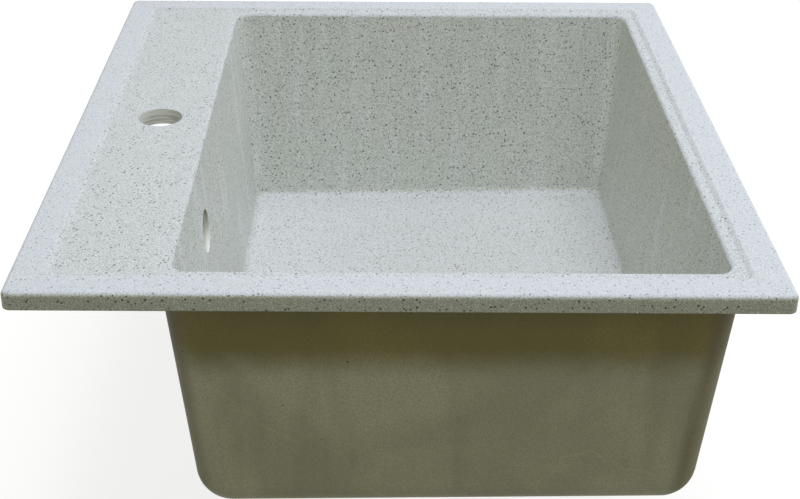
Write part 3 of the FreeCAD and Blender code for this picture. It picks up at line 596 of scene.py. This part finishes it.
def add_mesh(name, points, faces):
    mesh = bpy.data.meshes.new(name)
    mesh.from_pydata(points, [], faces)
    return link(bpy.data.objects.new(name, mesh))


def around(middle, radius, angle, height):
    return (middle[0] + radius * math.cos(angle), middle[1] + radius * math.sin(angle), height)


def helix(middle, radius, start, pitch, count):
    """Points that climb from a start height, a fixed number of them a turn."""
    angles = [math.tau * step / STUD_STEPS for step in range(count)]
    return [around(middle, radius, angle, start + pitch * angle / math.tau) for angle in angles]


def add_threaded_stud(node, finish):
    """A stud with a real thread in place of the plain one, as one closed surface."""
    low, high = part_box(node)
    middle = [(low[axis] + high[axis]) / 2 for axis in (0, 1)]
    outer = (high[0] - low[0]) / 2
    root = outer - STUD_DEPTH
    count = int((high[2] - low[2]) / STUD_PITCH - 1.5) * STUD_STEPS
    start = low[2] + STUD_PITCH / 2
    valley = helix(middle, root, start, STUD_PITCH, count + STUD_STEPS)
    crest = helix(middle, outer, start + STUD_PITCH / 2, STUD_PITCH, count)
    rings = [helix(middle, root, height, 0.0, STUD_STEPS) for height in (low[2], high[2])]
    first_crest = len(valley)
    foot = first_crest + len(crest)
    head = foot + STUD_STEPS
    last = count - 1
    faces = []
    for step in range(last):
        above = step + STUD_STEPS
        faces.append((step, step + 1, first_crest + step + 1, first_crest + step))
        faces.append((first_crest + step, first_crest + step + 1, above + 1, above))
    for step in range(STUD_STEPS):
        after = (step + 1) % STUD_STEPS
        faces.append((foot + step, foot + after, step + 1, step))
        left = (last + step) % STUD_STEPS
        right = (last + step + 1) % STUD_STEPS
        faces.append((last + step, last + step + 1, head + right, head + left))
    faces.append((foot, STUD_STEPS, first_crest, 0))
    faces.append((head + last % STUD_STEPS, last, first_crest + last, last + STUD_STEPS))
    faces.append(tuple(range(foot + STUD_STEPS - 1, foot - 1, -1)))
    faces.append(tuple(range(head, head + STUD_STEPS)))
    stud = add_mesh(node + "_thread", valley + crest + rings[0] + rings[1], faces)
    stud.data.materials.append(finish)
    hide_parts(node)
    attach(stud, "sink")


def add_outlet_groove(low):
    """A closed helical wedge that points inwards, and runs out over its last turn."""
    count = int((OUTLET_TOP - low) / OUTLET_PITCH * OUTLET_STEPS)
    points = []
    faces = []
    for step in range(count + 1):
        angle = math.tau * step / OUTLET_STEPS
        height = low + OUTLET_PITCH * step / OUTLET_STEPS
        share = min(1.0, (count - step) / OUTLET_STEPS + OUTLET_LAST_SHARE)
        tip = OUTLET_CLEAR + (OUTLET_ROOT - OUTLET_CLEAR) * share
        half = OUTLET_GROOVE / 2 * share
        for radius, rise in ((OUTLET_CLEAR, -half), (tip, 0.0), (OUTLET_CLEAR, half)):
            points.append(around(DRAIN, radius, angle, height + rise))
    for step in range(count):
        here = 3 * step
        for corner in range(3):
            after = (corner + 1) % 3
            faces.append((here + corner, here + after, here + 3 + after))
            faces.append((here + corner, here + 3 + after, here + 3 + corner))
    faces.append((2, 1, 0))
    faces.append((3 * count, 3 * count + 1, 3 * count + 2))
    return add_mesh("outlet_groove", points, faces)


def add_threaded_waste():
    """The waste body with its outlet's thread cut in, in place of the plain one."""
    plain = frame["nodes"]["waste_body"]
    welded = bmesh.new()
    welded.from_mesh(plain.data)
    bmesh.ops.remove_doubles(welded, verts=welded.verts, dist=WELD)
    welded.verts.index_update()
    corners = [tuple(vert.co) for vert in welded.verts]
    outlines = [[vert.index for vert in face.verts] for face in welded.faces]
    welded.free()
    waste = add_mesh("waste_body_thread", corners, outlines)
    groove = add_outlet_groove(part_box("waste_body")[0][2] - OUTLET_PITCH)
    cut = waste.modifiers.new("thread", "BOOLEAN")
    cut.operation = "DIFFERENCE"
    cut.solver = "EXACT"
    cut.object = groove
    depsgraph = bpy.context.evaluated_depsgraph_get()
    threaded = bpy.data.meshes.new_from_object(waste.evaluated_get(depsgraph))
    waste.modifiers.clear()
    waste.data = threaded
    bpy.data.objects.remove(groove)
    threaded.materials.append(plain.material_slots[0].material)
    threaded.shade_smooth()
    threaded.set_sharp_from_angle(angle=SHARP)
    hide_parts("waste_body")
    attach(waste, "sink")


# Floor and light

def seen_directly(tree):
    """One for rays that show a surface to the camera, straight or by way of metal."""
    path = tree.add("ShaderNodeLightPath").outputs
    return tree.highest(path["Is Camera Ray"], path["Is Glossy Ray"], path["Is Transmission Ray"])


def add_floor():
    """A grey floor that glows white where it is seen, and still takes the sink's shadow."""
    height = cad_box[0][2] - FLOOR_ROOM
    signs = ((-1, -1), (1, -1), (1, 1), (-1, 1))
    corners = [(x * FLOOR_HALF, y * FLOOR_HALF, height) for x, y in signs]
    floor = add_mesh("floor", corners, [(0, 1, 2, 3)])
    material = bpy.data.materials.new("pale_floor")
    tree = Tree(material)
    place = tree.add("ShaderNodeTexCoord").outputs["Object"]
    away = tree.add("ShaderNodeVectorMath", {0: place}, operation="LENGTH").outputs["Value"]
    glow = tree.product(seen_directly(tree), tree.ramp(away, *FLOOR_GLOW_REACH, *FLOOR_GLOW))
    matt = tree.add("ShaderNodeBsdfDiffuse", {"Color": FLOOR_GREY})
    white = tree.add("ShaderNodeEmission", {"Strength": glow})
    both = tree.add("ShaderNodeAddShader", {0: matt.outputs[0], 1: white.outputs[0]})
    tree.output("ShaderNodeOutputMaterial", both)
    floor.data.materials.append(material)


def add_world():
    """Dim warm light from all round, that is white where it is seen."""
    world = bpy.data.worlds.new("studio")
    bpy.context.scene.world = world
    tree = Tree(world)
    soft = tree.add("ShaderNodeBackground", {"Color": STUDIO_LIGHT, "Strength": STUDIO_STRENGTH})
    white = tree.add("ShaderNodeBackground", {"Color": WHITE, "Strength": 1.0})
    shown = {0: seen_directly(tree), 1: soft.outputs[0], 2: white.outputs[0]}
    tree.output("ShaderNodeOutputWorld", tree.add("ShaderNodeMixShader", shown))


def add_lamp(name, place, width, watts, colour, mirrored):
    data = bpy.data.lights.new(name, "AREA")
    data.shape = "DISK"
    data.size = width
    data.energy = watts
    data.color = colour
    lamp = link(bpy.data.objects.new(name, data))
    lamp.location = place
    lamp.rotation_euler = (-Vector(place)).to_track_quat("-Z", "Y").to_euler()
    lamp.visible_glossy = mirrored


add_camera()
finishes = dress_nodes()
for stud in [node for node in frame["nodes"] if node.endswith("_stud")]:
    add_threaded_stud(stud, finishes["zinc_plate"])
add_threaded_waste()
add_floor()
add_world()
for lamp in LAMPS:
    add_lamp(*lamp)
bpy.context.scene.view_settings.view_transform = "Standard"
